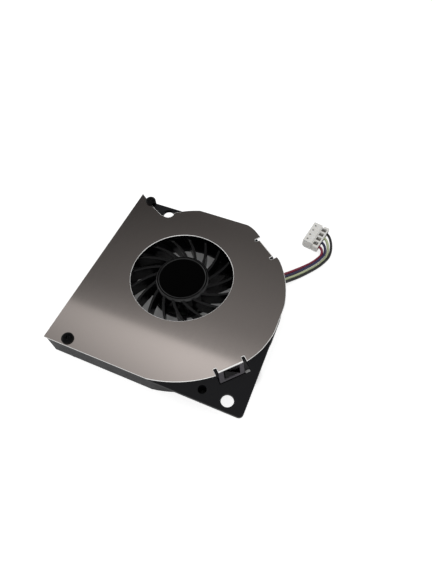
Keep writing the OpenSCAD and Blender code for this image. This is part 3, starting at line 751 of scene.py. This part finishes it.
@dataclass
class Studio:
    """White floor, a ceiling with one long soft panel, and soft lights at a plain level.

    Attributes:
        floor_size: side of the floor, in metres.
        floor_drop: how far it lies below the fan, in metres.
        floor_colour: what the light and the shadow fall on.
        floor_roughness: of the floor, which has no gloss.
        shaded: discs of the floor that the lift leaves out, because the fan keeps the
            light away there: under the inlet windows and under the snap tab's slot, as
            (x, y, radius at which the lift starts, radius at which it is full), in metres.
        lift: how much the floor glows for the eye, for gloss and through glass.
        gloss: share of the lift that gloss sees, as the floor right beside the fan is in
            its shade.
        dim: the lift in the discs.
        sky_level: how bright the horizon and the zenith are for the object's own colours.
        ceiling: what gloss sees overhead, as (run along Y per height, level) pairs.
        fade: the same along X: two runs, and the level at the first one.
        lowest: height of a direction's unit vector below which a run grows no more.
        walls: heights of that vector between which the white walls of the studio give way
            to the ceiling.
        lights: the soft lights.
    """

    floor_size: float = 4.0
    floor_drop: float = 0.00003
    floor_colour: str = "#c8c8c8"
    floor_roughness: float = 0.9
    shaded: tuple[tuple[float, float, float, float], ...] = (
        (0, 0, 0.017, 0.019), (0.026, -0.017, 0.0015, 0.0045))
    lift: float = 0.72
    gloss: float = 0.3
    dim: float = 0.04
    sky_level: tuple[float, float] = (0.25, 0.95)
    ceiling: tuple[tuple[float, float], ...] = (
        (-1.0, 1.0), (0.26, 0.72), (0.31, 0.92), (0.35, 1.04), (0.383, 1.08), (0.393, 0.48),
        (0.42, 0.42), (0.476, 0.3), (0.58, 0.235), (0.68, 0.18), (0.785, 0.13), (2.0, 0.1))
    fade: tuple[float, float, float] = (-0.62, -0.25, 0.6)
    lowest: float = 0.05
    walls: tuple[float, float] = (0.57, 0.63)
    lights: tuple[SoftLight, ...] = (
        SoftLight("front_light", (0.30, -0.62, 0.30), (0.5, 0.4), 0.4),
        SoftLight("left_light", (-0.70, -0.10, 0.45), (0.4, 0.5), 0.7))

    def build(self) -> None:
        """Makes the floor, the world and the lights."""
        self.floor()
        self.world()
        for light in self.lights:
            light.build()

    def floor(self) -> None:
        """Lays a floor that shows as white and keeps the object's shadow."""
        bpy.ops.mesh.primitive_plane_add(size=self.floor_size, location=(0, 0, -self.floor_drop))
        floor = bpy.context.active_object
        floor.name = "floor"
        made = bpy.data.materials.new("white_floor")
        made.use_nodes = True
        tree = made.node_tree
        add = partial(add_node, tree)
        shader = tree.nodes["Principled BSDF"]
        shader.inputs["Base Color"].default_value = linear(self.floor_colour)
        shader.inputs["Roughness"].default_value = self.floor_roughness
        shader.inputs["Specular IOR Level"].default_value = 0.0
        path = add("ShaderNodeLightPath").outputs
        gloss = add("ShaderNodeMath", {0: path["Is Glossy Ray"], 1: self.gloss},
                    operation="MULTIPLY")
        seen = add("ShaderNodeMath", {0: path["Is Camera Ray"], 1: gloss.outputs[0]},
                   operation="MAXIMUM")
        seen = add("ShaderNodeMath", {0: seen.outputs[0], 1: path["Is Transmission Ray"]},
                   operation="MAXIMUM")
        coords = add("ShaderNodeTexCoord").outputs["Object"]
        outside = []
        for x, y, start, full in self.shaded:
            away = add("ShaderNodeVectorMath", {0: coords, 1: (x, y, 0)}, operation="DISTANCE")
            outside.append(add("ShaderNodeMapRange", {
                "Value": away.outputs["Value"], "From Min": start, "From Max": full,
                "To Min": self.dim, "To Max": self.lift}).outputs["Result"])
        rise = add("ShaderNodeMath", dict(enumerate(outside)), operation="MINIMUM")
        glow = add("ShaderNodeMath", {0: seen.outputs[0], 1: rise.outputs[0]},
                   operation="MULTIPLY")
        shader.inputs["Emission Color"].default_value = (1, 1, 1, 1)
        tree.links.new(glow.outputs[0], shader.inputs["Emission Strength"])
        floor.data.materials.append(made)

    def world(self) -> None:
        """Makes what gloss sees overhead, and an even level for the colours."""
        world = bpy.data.worlds.new("studio")
        bpy.context.scene.world = world
        world.use_nodes = True
        tree = world.node_tree
        tree.nodes.clear()
        add = partial(add_node, tree)
        coords = add("ShaderNodeTexCoord")
        parts = add("ShaderNodeSeparateXYZ", {0: coords.outputs["Generated"]}).outputs
        sky = add("ShaderNodeMapRange", {"Value": parts["Z"], "To Min": self.sky_level[0],
                                         "To Max": self.sky_level[1]}).outputs["Result"]
        seen, even = (add("ShaderNodeBackground", {"Color": (1, 1, 1, 1), "Strength": level})
                      for level in (self.overhead(add, parts), sky))
        path = add("ShaderNodeLightPath")
        mixed = add("ShaderNodeMixShader", {0: path.outputs["Is Diffuse Ray"],
                                            1: seen.outputs[0], 2: even.outputs[0]})
        add("ShaderNodeOutputWorld", {"Surface": mixed.outputs[0]})

    def overhead(self, add: Callable[..., Node], parts: NodeOutputs) -> NodeSocket:
        """Makes white walls, and above them the ceiling with its bright panel in front.

        Args:
            add: adds a node to the world's tree.
            parts: X, Y and Z of a direction's unit vector.

        Returns:
            The level in that direction.
        """
        rise = add("ShaderNodeMath", {0: parts["Z"], 1: self.lowest}, operation="MAXIMUM")
        along, across = (add("ShaderNodeMath", {0: parts[axis], 1: rise.outputs[0]},
                             operation="DIVIDE").outputs[0] for axis in ("Y", "X"))
        start, end = self.ceiling[0][0], self.ceiling[-1][0]
        share = add("ShaderNodeMapRange", {"Value": along, "From Min": start, "From Max": end})
        ramp = add("ShaderNodeValToRGB", {0: share.outputs["Result"]})
        stops = ramp.color_ramp.elements
        while len(stops) < len(self.ceiling):
            stops.new(0.5)
        for stop, (run, level) in zip(stops, self.ceiling):
            stop.position = (run - start) / (end - start)
            stop.color = (level, level, level, 1)
        left = add("ShaderNodeMapRange", {
            "Value": across, "From Min": self.fade[0], "From Max": self.fade[1],
            "To Min": self.fade[2], "To Max": 1.0})
        level = add("ShaderNodeMath", {0: ramp.outputs["Color"], 1: left.outputs["Result"]},
                    operation="MULTIPLY")
        upward = add("ShaderNodeMapRange", {
            "Value": parts["Z"], "From Min": self.walls[0], "From Max": self.walls[1],
            "To Min": 1.0, "To Max": level.outputs[0]}, interpolation_type="SMOOTHSTEP")
        return upward.outputs["Result"]


# Leads and plug


class LeadColour(Enum):
    """The four leads in their order across the ribbon, with node, slot and finish."""

    RED = ("wire_red", "red_insulation", Finishes.RED)
    BLUE = ("wire_blue", "blue_insulation", Finishes.BLUE)
    YELLOW = ("wire_yellow", "yellow_insulation", Finishes.YELLOW)
    BLACK = ("wire_black", "black_insulation", Finishes.BLACK)


# the ribbon's middle line, counted in leads from the first one
MIDDLE_LANE = (len(LeadColour) - 1) / 2


@dataclass
class Plug:
    """White plug housing and its crimped contacts.

    Attributes:
        middle: of the housing.
        angle: direction of its row of contacts, in degrees.
        height: of the housing.
        pitch: of the contacts.
        rounding: of the housing's edges.
    """

    middle: tuple[float, float] = (30.65, 33.25)
    angle: float = 80.2
    height: float = 3.1
    pitch: float = 2.0
    rounding: float = 0.05

    def point(self, u: float, v: float, z: float) -> Vector:
        """Finds a place in the plug.

        Args:
            u: along the row, in millimetres.
            v: towards the wires, in millimetres.
            z: height, in millimetres.

        Returns:
            The point in the frame, in metres.
        """
        a = math.radians(self.angle)
        return Vector((self.middle[0] + u * math.cos(a) + v * math.sin(a),
                       self.middle[1] + u * math.sin(a) - v * math.cos(a), z)) * MM

    def build(self) -> list[Object]:
        """Builds the housing.

        Returns:
            The pieces that go with the leads: the housing, and the CAD's contacts in it.
        """
        shell = copy_of(["connector_housing"], "plug_shell")
        soften(shell, self.rounding, clamp=True)
        hand_over(shell, Body.HOUSING, Finishes.NYLON, ["connector_housing"])
        return [shell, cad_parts["crimp_contacts"]]


@dataclass
class Leads:
    """Four insulated leads from the board, side by side and then in a bundle, to the plug.

    Attributes:
        route: middle line of the ribbon.
        spacing: of the lanes at each point of the route.
        diameter: of a lead.
        apart: distance that two neighbours' middles keep, by rising, where lanes are closer.
        clear: least gap between a lead and the floor.
        start: how far a lead runs on straight out of the bundle, as a share of its way.
        turn: how far it runs straight out of the plug.
        mouth: where it enters the plug, measured behind the plug's middle.
        end: where it ends in the crimp, measured the same way.
        steps: points on the curve between bundle and plug.
        round_steps: faces across a quarter of a lead, less one.
        knot_steps: faces along a lead from point to point.
    """

    route: tuple[tuple[float, float, float], ...] = (
        (5.6, 7.17, 1.8), (7.2, 9.2, 1.6), (9.0, 11.6, 1.46), (11.6, 13.9, 1.46),
        (15.0, 14.3, 1.46), (18.2, 12.4, 1.46), (21.2, 11.4, 1.46), (23.4, 12.0, 1.46),
        (25.4, 13.8, 1.4), (27.2, 15.9, 0.9), (29.4, 18.5, 0.52), (31.7, 21.2, 0.45),
        (33.6, 23.8, 0.45), (34.9, 26.4, 0.45))
    spacing: tuple[float, ...] = (0.9,) * 10 + (0.88, 0.84, 0.8, 0.78)
    diameter: float = 0.8
    apart: float = 0.88
    clear: float = 0.01
    start: float = 0.4
    turn: float = 1.8
    mouth: float = 2.3
    end: float = 1.05
    steps: int = 8
    round_steps: int = 5
    knot_steps: int = 6

    def lane(self, lane: int, i: int) -> Vector:
        """Finds the place of a lead at one point of the route.

        Args:
            lane: the lead's number.
            i: the point's number.

        Returns:
            The place, in millimetres; every second lead rises where the lanes are close.
        """
        route = [Vector(p) for p in self.route]
        along = route[min(i + 1, len(route) - 1)] - route[max(i - 1, 0)]
        left = Vector((-along.y, along.x, 0)).normalized()
        lift = (lane % 2) * math.sqrt(max(0.0, self.apart ** 2 - self.spacing[i] ** 2))
        return route[i] + (MIDDLE_LANE - lane) * self.spacing[i] * left + Vector((0, 0, lift))

    def points(self, lane: int, plug: Plug) -> list[Vector]:
        """Finds the line that a lead follows, as the CAD has it.

        Args:
            lane: the lead's number.
            plug: where it ends.

        Returns:
            Points in metres, from the board to the crimp.
        """
        points = [self.lane(lane, i) * MM for i in range(len(self.route))]
        u, high = (lane - MIDDLE_LANE) * plug.pitch, plug.height / 2
        a, d = points[-1], plug.point(u, self.mouth, high)
        b = a + self.start * (d - a).length * (a - points[-2]).normalized()
        c = plug.point(u, self.mouth + self.turn, high)
        for j in range(1, self.steps + 1):
            t = j / self.steps
            points.append((1 - t) ** 3 * a + 3 * (1 - t) ** 2 * t * b
                          + 3 * (1 - t) * t * t * c + t ** 3 * d)
        points.append(plug.point(u, self.end, high))
        return points

    def draw(self, name: str, points: list[Vector]) -> Object:
        """Draws a round curve through points, with its bends clear of the floor.

        Args:
            name: of the lead.
            points: in metres.

        Returns:
            The lead.
        """
        data = bpy.data.curves.new(name, "CURVE")
        data.dimensions = "3D"
        data.bevel_depth = self.diameter / 2 * MM
        data.bevel_resolution = self.round_steps
        data.resolution_u = self.knot_steps
        data.use_fill_caps = True
        spline = data.splines.new("BEZIER")
        spline.bezier_points.add(len(points) - 1)
        for knot, point in zip(spline.bezier_points, points):
            knot.co = point
            knot.handle_left_type = knot.handle_right_type = "AUTO"
        lead = bpy.data.objects.new(name, data)
        bpy.context.scene.collection.objects.link(lead)
        bpy.context.view_layer.update()
        lowest = (self.diameter / 2 + self.clear) * MM
        for knot in spline.bezier_points:
            for side in ("left", "right"):
                handle = getattr(knot, f"handle_{side}").copy()
                handle.z = max(handle.z, lowest)
                setattr(knot, f"handle_{side}_type", "FREE")
                setattr(knot, f"handle_{side}", handle)
        return lead

    def build(self, plug: Plug, ends: list[Object]) -> None:
        """Args:
            plug: where they end.
            ends: the plug's pieces; not used.
        """
        for lane, colour in enumerate(LeadColour):
            node, slot, finish = colour.value
            points = self.points(lane, plug)
            lead = self.draw(f"lead_{colour.name.lower()}", points)
            hand_over(lead, Body.HOUSING, finish, [node])


@dataclass
class LeadTape:
    """Black tape that holds the ribbon of leads on its spoke, under the blades.

    Attributes:
        angle: direction of the spoke, in degrees.
        near: inner end, as distance from the axis and height.
        far: outer end, the same way.
        width: across the ribbon.
        thick: thickness of the tape.
        rounding: of its edges.
    """

    angle: float = 52
    near: tuple[float, float] = (9.7, 2.18)
    far: tuple[float, float] = (16.9, 1.88)
    width: float = 4.2
    thick: float = 0.05
    rounding: float = 0.02

    def build(self) -> None:
        """Lays a thin plate along the spoke."""
        length = math.dist(self.near, self.far)
        tape = primitive(bpy.ops.mesh.primitive_cube_add, size=1,
                         scale=(length * MM, self.width * MM, self.thick * MM))
        tape.name = "lead_tape"
        soften(tape, self.rounding)
        run, height = ((a + b) / 2 for a, b in zip(self.near, self.far))
        tilt = math.atan2(self.near[1] - self.far[1], self.far[0] - self.near[0])
        place(tape, Matrix.Rotation(math.radians(self.angle), 4, "Z")
              @ Matrix.Translation(Vector((run, 0, height)) * MM)
              @ Matrix.Rotation(tilt, 4, "Y"))
        hand_over(tape, Body.HOUSING, Finishes.TAPE)


# Housing, cover and rotor


@dataclass
class Housing:
    """Moulded tray with the scroll wall and the ears, all one moulding.

    Attributes:
        parts: the CAD nodes that make it up.
        rounding: of the moulded edges.
    """

    parts: tuple[str, ...] = ("base_housing", "front_ear", "guide_lug", "back_ear")
    rounding: float = 0.12

    def build(self) -> None:
        """Joins the copies and rounds the edges."""
        shell = copy_of(self.parts, "moulded_housing")
        soften(shell, self.rounding)
        hand_over(shell, Body.HOUSING, Finishes.HOUSING, self.parts)


@dataclass
class Screw:
    """Domed screw with a cross recess, its head's underside at Z 0.

    Attributes:
        radius: of the head.
        rim: height of the head's straight side.
        dome: the steps above it, as (rise, share of the width that is left) pairs.
        rounding: of the edges between the steps.
        bend: edges sharper than this, in degrees, are rounded.
        arm: length, width and depth of the tool that cuts an arm of the recess.
        arm_height: of that tool's middle.
        taper: share of the arm's length and width that is left at its bottom.
        arm_turns: directions of the two arms, in degrees.
        shank_radius: of the shank.
        shank_length: of the shank.
        overlap: how far the shank reaches into the head.
        head_sides: faces round the head.
        shank_sides: faces round the shank.
        crease: edges sharper than this, in degrees, are shaded sharp.
    """

    radius: float = 1.6
    rim: float = 0.4
    dome: tuple[tuple[float, float], ...] = (
        (0.2, 0.94), (0.16, 0.86), (0.1, 0.72), (0.028, 0.5))
    rounding: float = 0.05
    bend: float = 25
    arm: tuple[float, float, float] = (1.8, 0.36, 1.0)
    arm_height: float = 0.95
    taper: float = 0.45
    arm_turns: tuple[float, float] = (30, 120)
    shank_radius: float = 0.75
    shank_length: float = 4.9
    overlap: float = 0.05
    head_sides: int = 40
    shank_sides: int = 24
    crease: float = 30

    def model(self) -> Object:
        """Models the screw.

        Returns:
            The screw, on the Z axis.
        """
        head = primitive(bpy.ops.mesh.primitive_cylinder_add, vertices=self.head_sides,
                         radius=self.radius * MM, depth=self.rim * MM,
                         location=(0, 0, self.rim / 2 * MM))
        for rise, share in self.dome:
            self.raise_step(head, rise, share)
        soften(head, self.rounding, self.bend)
        for turn in self.arm_turns:
            self.cut_arm(head, turn)
        primitive(bpy.ops.mesh.primitive_cylinder_add, vertices=self.shank_sides,
                  radius=self.shank_radius * MM, depth=self.shank_length * MM,
                  location=(0, 0, (self.overlap - self.shank_length / 2) * MM))
        head.select_set(True)
        bpy.context.view_layer.objects.active = head
        bpy.ops.object.join()
        bpy.ops.object.shade_smooth_by_angle(angle=math.radians(self.crease))
        return head

    def raise_step(self, head: Object, rise: float, share: float) -> None:
        """Adds one step of the dome.

        Args:
            head: the head so far.
            rise: height of the step, in millimetres.
            share: of the width that is left at its top.
        """
        top = max(v.co.z for v in head.data.vertices) - LEVEL
        pick_faces(head, lambda middle, normal: normal.z > FACING and middle.z > top)
        edit(head, lambda: bpy.ops.mesh.extrude_region_move(
                TRANSFORM_OT_translate={"value": (0, 0, rise * MM)}),
             lambda: bpy.ops.transform.resize(value=(share, share, 1)))

    def cut_arm(self, head: Object, turn: float) -> None:
        """Cuts one arm of the recess, which narrows towards its bottom.

        Args:
            head: the domed head.
            turn: direction of the arm, in degrees.
        """
        tool = primitive(bpy.ops.mesh.primitive_cube_add, size=1, turn=turn,
                         location=(0, 0, self.arm_height * MM),
                         scale=[side * MM for side in self.arm])
        bottom = min(v.co.z for v in tool.data.vertices) + LEVEL
        pick_faces(tool, lambda middle, normal: normal.z < -FACING and middle.z < bottom)
        edit(tool, lambda: bpy.ops.transform.resize(value=(self.taper, self.taper, 1)))
        apply_modifier(head, "BOOLEAN", operation="DIFFERENCE", solver="EXACT", object=tool)
        bpy.data.objects.remove(tool)


@dataclass
class Cover:
    """Brushed sheet cover with its snap tabs and two screws.

    Attributes:
        under: height of the sheet's lower face.
        top: height of its upper face.
        rounding: of the punched edges.
        segments: faces across the rounding.
        bend: how far below the sheet's lower face the tabs' dull part starts, which is painted
            dark as shade.
        flat: how much of a brushed face's normal is upright; less is a punched edge or a
            rounding, which gets the near-white metal of the painted highlight.
        plan_scale: of the map that the brushing follows, per metre.
        plan_lean: how much height counts in that map, so that upright faces aren't lines.
        screws: name and place of each screw.
    """

    under: float = 8.1
    top: float = 8.5
    rounding: float = 0.15
    segments: int = 3
    bend: float = 0.1
    flat: float = 0.98
    plan_scale: float = 10
    plan_lean: float = 0.3
    screws: tuple[tuple[str, float, float], ...] = (
        ("screw_front", -19.0, -28.9), ("screw_back", -21.3, 22.0))

    def build(self) -> None:
        """Builds the sheet, then the screws."""
        sheet = copy_of(["top_cover"], "sheet_cover", slivers=True)
        soften(sheet, self.rounding, segments=self.segments)
        plan = sheet.data.uv_layers.new(name="plan")
        for loop in sheet.data.loops:
            x, y, z = sheet.data.vertices[loop.vertex_index].co
            plan.data[loop.index].uv = (x * self.plan_scale,
                                        (y + z * self.plan_lean) * self.plan_scale)
        hand_over(sheet, Body.HOUSING, Finishes.COVER, ["top_cover"])
        sheet.data.materials.append(Finishes.EDGE_HIGHLIGHT.material())
        sheet.data.materials.append(Finishes.TAB_SHADE.material())
        for face in sheet.data.polygons:
            if face.center.z < (self.under - self.bend) * MM:
                # the tabs below the bend: dark metal, painted shade
                face.material_index = 2
            elif abs(face.normal.z) < self.flat:
                # punched edges and roundings: near-white metal, a painted highlight
                face.material_index = 1
        self.build_screws()

    def build_screws(self) -> None:
        """Models one screw and puts a copy in each place."""
        model = Screw().model()
        for name, x, y in self.screws:
            screw = bpy.data.objects.new(name, model.data.copy())
            bpy.context.scene.collection.objects.link(screw)
            place(screw, Matrix.Translation(Vector((x, y, self.top)) * MM))
            hand_over(screw, Body.HOUSING, Finishes.SCREW, ["cover_screws"])
        bpy.data.objects.remove(model)


@dataclass
class Rotor:
    """Impeller on its yoke and shaft.

    Attributes:
        rounding: of the blade edges.
        recess: radius of the recess in the hub's top.
        flat: how much of the normal of the recess's floor is upright.
    """

    rounding: float = 0.07
    recess: float = 6.7
    flat: float = 0.99

    def build(self) -> None:
        """Rounds the impeller's edges and takes the gloss off the recess."""
        wheel = copy_of(["impeller"], "impeller_wheel")
        soften(wheel, self.rounding)
        hand_over(wheel, Body.ROTOR, Finishes.IMPELLER, ["impeller"])
        wheel.data.materials.append(Finishes.RECESS.material())
        for face in wheel.data.polygons:
            if face.normal.z > self.flat and face.center.xy.length < self.recess * MM:
                face.material_index = 1


@dataclass
class Motor:
    """The CAD nodes inside the hub and the plug, which keep their shapes.

    Attributes:
        finishes: of each node.
    """

    finishes: dict[str, Finish] = field(default_factory=lambda: {
        "rotor_yoke": Finishes.YOKE, "ring_magnet": Finishes.MAGNET, "shaft": Finishes.SHAFT,
        "oil_slinger": Finishes.WASHER, "retaining_ring": Finishes.SHAFT,
        "bearing_tube": Finishes.BRASS, "bearing_sleeve": Finishes.BEARING,
        "thrust_plate": Finishes.WASHER, "stator_core": Finishes.CORE,
        "upper_insulator": Finishes.INSULATOR, "lower_insulator": Finishes.INSULATOR,
        "coil_windings": Finishes.COPPER, "winding_pins": Finishes.TIN,
        "driver_board": Finishes.BOARD, "driver_chip": Finishes.CHIP,
        "hall_sensor": Finishes.CHIP, "chip_components": Finishes.CERAMIC,
        "solder_joints": Finishes.TIN, "crimp_contacts": Finishes.CRIMP})

    def dress(self) -> None:
        """Gives each node its material."""
        for name, finish in self.finishes.items():
            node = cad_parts[name]
            if not node.material_slots:
                node.data.materials.append(None)
            for slot in node.material_slots:
                slot.material = finish.material()
            LOG.info("%s: %s", name, finish.name)


def main() -> None:
    """Builds the scene: camera and leads first, then the pieces, then the studio."""
    logging.basicConfig(level=logging.INFO, format="%(name)s: %(message)s")
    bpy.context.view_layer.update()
    bpy.context.scene.view_settings.view_transform = "Standard"
    PhotoCamera().build()
    plug = Plug()
    Leads().build(plug, plug.build())
    LeadTape().build()
    Housing().build()
    Cover().build()
    Rotor().build()
    Motor().dress()
    Studio().build()


if __name__ == "__main__":
    main()
